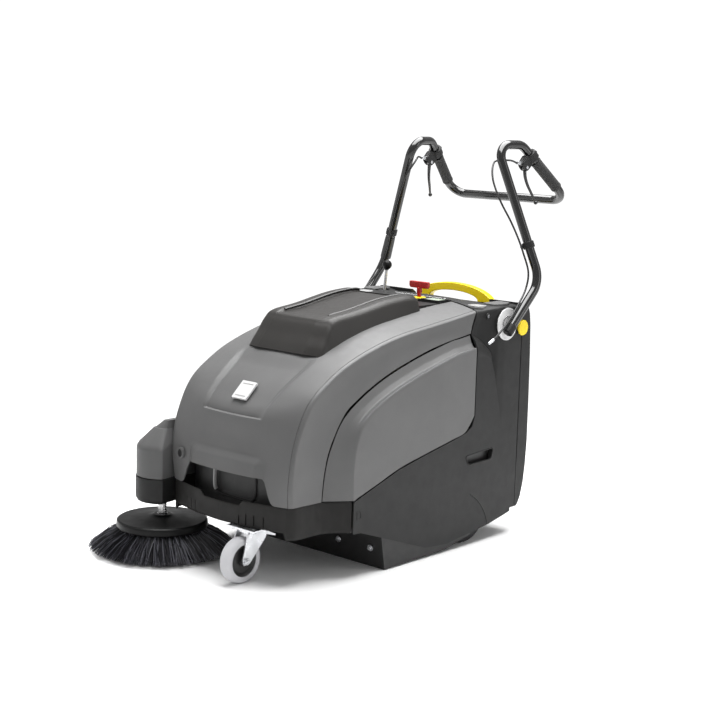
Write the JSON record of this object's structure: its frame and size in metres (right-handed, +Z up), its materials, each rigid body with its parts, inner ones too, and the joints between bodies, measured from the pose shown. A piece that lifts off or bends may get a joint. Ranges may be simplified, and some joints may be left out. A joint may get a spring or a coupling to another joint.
{
  "type": "walk-behind sweeper",
  "caption": "Walk-behind battery floor sweeper with main roller brush, side brush, hinged hood, pull-out waste container and folding push handle.",
  "frame": {"origin": "floor level, at the centre of the bounding box", "axes": "+Z up; the machine travels towards -Y, with the push handle at +Y; the side brush is on the -X side, the operator's right"},
  "size_m": [0.8174, 1.4218, 1.1798],
  "materials": {
    "frame": "satin black paint",
    "cover_light": "satin, finely moulded",
    "cover_dark": "satin, finely moulded",
    "cover_black": "satin",
    "bumper": "matt",
    "box_brown": "satin",
    "badge": "smooth",
    "display": "glossy",
    "red_plastic": "glossy",
    "yellow_plastic": "satin",
    "tube_black": "gloss paint",
    "disc_silver": "satin silver",
    "grip_rubber": "matt",
    "skirt_rubber": "matt",
    "cable_black": "satin",
    "zinc": "zinc plated",
    "steel": "bright",
    "motor": "satin",
    "aluminium": "cast",
    "battery": "matt",
    "filter": "pleated",
    "tyre_grey": "matt",
    "tyre_black": "matt",
    "hub_black": "satin",
    "disc_black": "glossy",
    "bristle": "fibrous",
    "belt_rubber": "matt"
  },
  "bodies": {
    "chassis": {"chassis_frame": "frame", "brush_tunnel": "frame", "bumper": "bumper", "front_panel": "cover_black", "left_door": "cover_light", "right_door": "cover_light", "left_lower_panel": "cover_dark", "right_lower_panel": "cover_dark", "rear_housing": "cover_dark", "brush_head_base": "cover_black", "brush_head_cover": "cover_dark", "component_tray": "frame", "batteries": "battery", "charger": "aluminium", "motor_controller": "motor", "suction_fan": "cover_black", "dust_filter": "filter", "front_skirt": "skirt_rubber", "inner_skirts": "skirt_rubber", "brush_bearings": "steel", "brush_motor": "motor", "drive_belt": "belt_rubber", "rear_axle": "steel", "traction_motor": "motor", "caster_plate": "zinc", "skirt_screws": "zinc", "handle_pivot_pins": "steel", "deck_hinge": "steel"},
    "hood": {"hood": "cover_light", "top_box": "box_brown", "badge_plate": "badge", "console": "cover_black", "display": "display", "hood_hinge": "steel"},
    "key": {"isolator_key": "red_plastic"},
    "handle": {"handle_tube": "tube_black", "pivot_discs": "disc_silver", "grips": "grip_rubber", "lever_clamps": "cover_black", "control_cables": "cable_black", "cable_clips": "cover_black"},
    "left_lever": {"left_lever": "tube_black"},
    "right_lever": {"right_lever": "tube_black"},
    "lift_lever": {"lift_lever": "steel"},
    "side_brush_carriage": {"side_brush_motor": "motor"},
    "side_brush": {"side_brush_disc": "disc_black", "side_brush_bristles": "bristle"},
    "main_brush": {"main_brush_core": "hub_black", "main_brush_bristles": "bristle"},
    "brush_motor_rotor": {"motor_pulley": "aluminium"},
    "caster": {"caster_fork": "zinc"},
    "caster_wheel": {"caster_tyre": "tyre_grey", "caster_hub": "hub_black"},
    "caster_brake": {"caster_brake": "zinc"},
    "left_wheel": {"left_wheel": "tyre_black"},
    "right_wheel": {"right_wheel": "tyre_black"},
    "container": {"waste_container": "cover_dark"},
    "container_handle": {"container_handle": "yellow_plastic"},
    "left_release_button": {"left_release_button": "yellow_plastic"},
    "right_release_button": {"right_release_button": "yellow_plastic"}
  },
  "joints": [
    {"name": "hood_lift", "type": "hinge", "parent": "chassis", "child": "hood", "pos_m": [0.0863, 0.27312, 0.704], "axis": [-1, 0, 0], "range_deg": [0, 60]},
    {"name": "key_turn", "type": "hinge", "parent": "hood", "child": "key", "pos_m": [0.1243, 0.22212, 0.7], "axis": [0, 0, 1], "range_deg": [0, 90]},
    {"name": "handle_fold", "type": "hinge", "parent": "chassis", "child": "handle", "pos_m": [0.0863, 0.33312, 0.646], "axis": [-1, 0, 0], "range_deg": [-85, 0]},
    {"name": "left_lever_pull", "type": "hinge", "parent": "handle", "child": "left_lever", "pos_m": [0.2743, 0.52071, 1.099], "axis": [1, 0, 0], "range_deg": [0, 25], "stiffness_Nm_per_rad": 1},
    {"name": "right_lever_pull", "type": "hinge", "parent": "handle", "child": "right_lever", "pos_m": [-0.1017, 0.52071, 1.099], "axis": [1, 0, 0], "range_deg": [0, 25], "stiffness_Nm_per_rad": 1},
    {"name": "side_brush_lift", "type": "slide", "parent": "chassis", "child": "side_brush_carriage", "axis": [0, 0, 1], "range_m": [0, 0.03]},
    {"name": "lift_lever_pull", "type": "hinge", "parent": "chassis", "child": "lift_lever", "pos_m": [-0.1127, 0.32912, 0.662], "axis": [1, 0, 0], "range_deg": [0, 25]},
    {"name": "side_brush_spin", "type": "hinge", "parent": "side_brush_carriage", "child": "side_brush", "pos_m": [-0.1987, -0.50088, 0.062], "axis": [0, 0, 1], "continuous": true},
    {"name": "main_brush_spin", "type": "hinge", "parent": "chassis", "child": "main_brush", "pos_m": [0.0863, -0.03788, 0.134], "axis": [1, 0, 0], "continuous": true},
    {"name": "brush_motor_spin", "type": "hinge", "parent": "chassis", "child": "brush_motor_rotor", "pos_m": [-0.1837, 0.10212, 0.335], "axis": [1, 0, 0], "continuous": true},
    {"name": "caster_swivel", "type": "hinge", "parent": "chassis", "child": "caster", "pos_m": [0.1763, -0.50088, 0.148], "axis": [0, 0, 1], "continuous": true},
    {"name": "caster_roll", "type": "hinge", "parent": "caster", "child": "caster_wheel", "pos_m": [0.1763, -0.54888, 0.0625], "axis": [1, 0, 0], "continuous": true},
    {"name": "caster_brake_press", "type": "hinge", "parent": "caster", "child": "caster_brake", "pos_m": [0.1763, -0.47088, 0.126], "axis": [-1, 0, 0], "range_deg": [0, 12]},
    {"name": "left_wheel_roll", "type": "hinge", "parent": "chassis", "child": "left_wheel", "pos_m": [0.3293, 0.20212, 0.1], "axis": [1, 0, 0], "continuous": true},
    {"name": "right_wheel_roll", "type": "hinge", "parent": "chassis", "child": "right_wheel", "pos_m": [-0.1567, 0.20212, 0.1], "axis": [1, 0, 0], "continuous": true},
    {"name": "container_pull", "type": "slide", "parent": "chassis", "child": "container", "axis": [0, 1, 0], "range_m": [0, 0.35]},
    {"name": "container_handle_raise", "type": "slide", "parent": "container", "child": "container_handle", "axis": [0, 0, 1], "range_m": [0, 0.28]},
    {"name": "left_release", "type": "slide", "parent": "chassis", "child": "left_release_button", "axis": [-1, 0, 0], "range_m": [0, 0.004], "stiffness_N_per_m": 400},
    {"name": "right_release", "type": "slide", "parent": "chassis", "child": "right_release_button", "axis": [1, 0, 0], "range_m": [0, 0.004], "stiffness_N_per_m": 400}
  ],
  "couplings": [
    {"joint": "lift_lever_pull", "follows": "side_brush_lift", "rad_per_m": 14.5},
    {"joint": "brush_motor_spin", "follows": "main_brush_spin", "ratio": 1.9524}
  ]
}
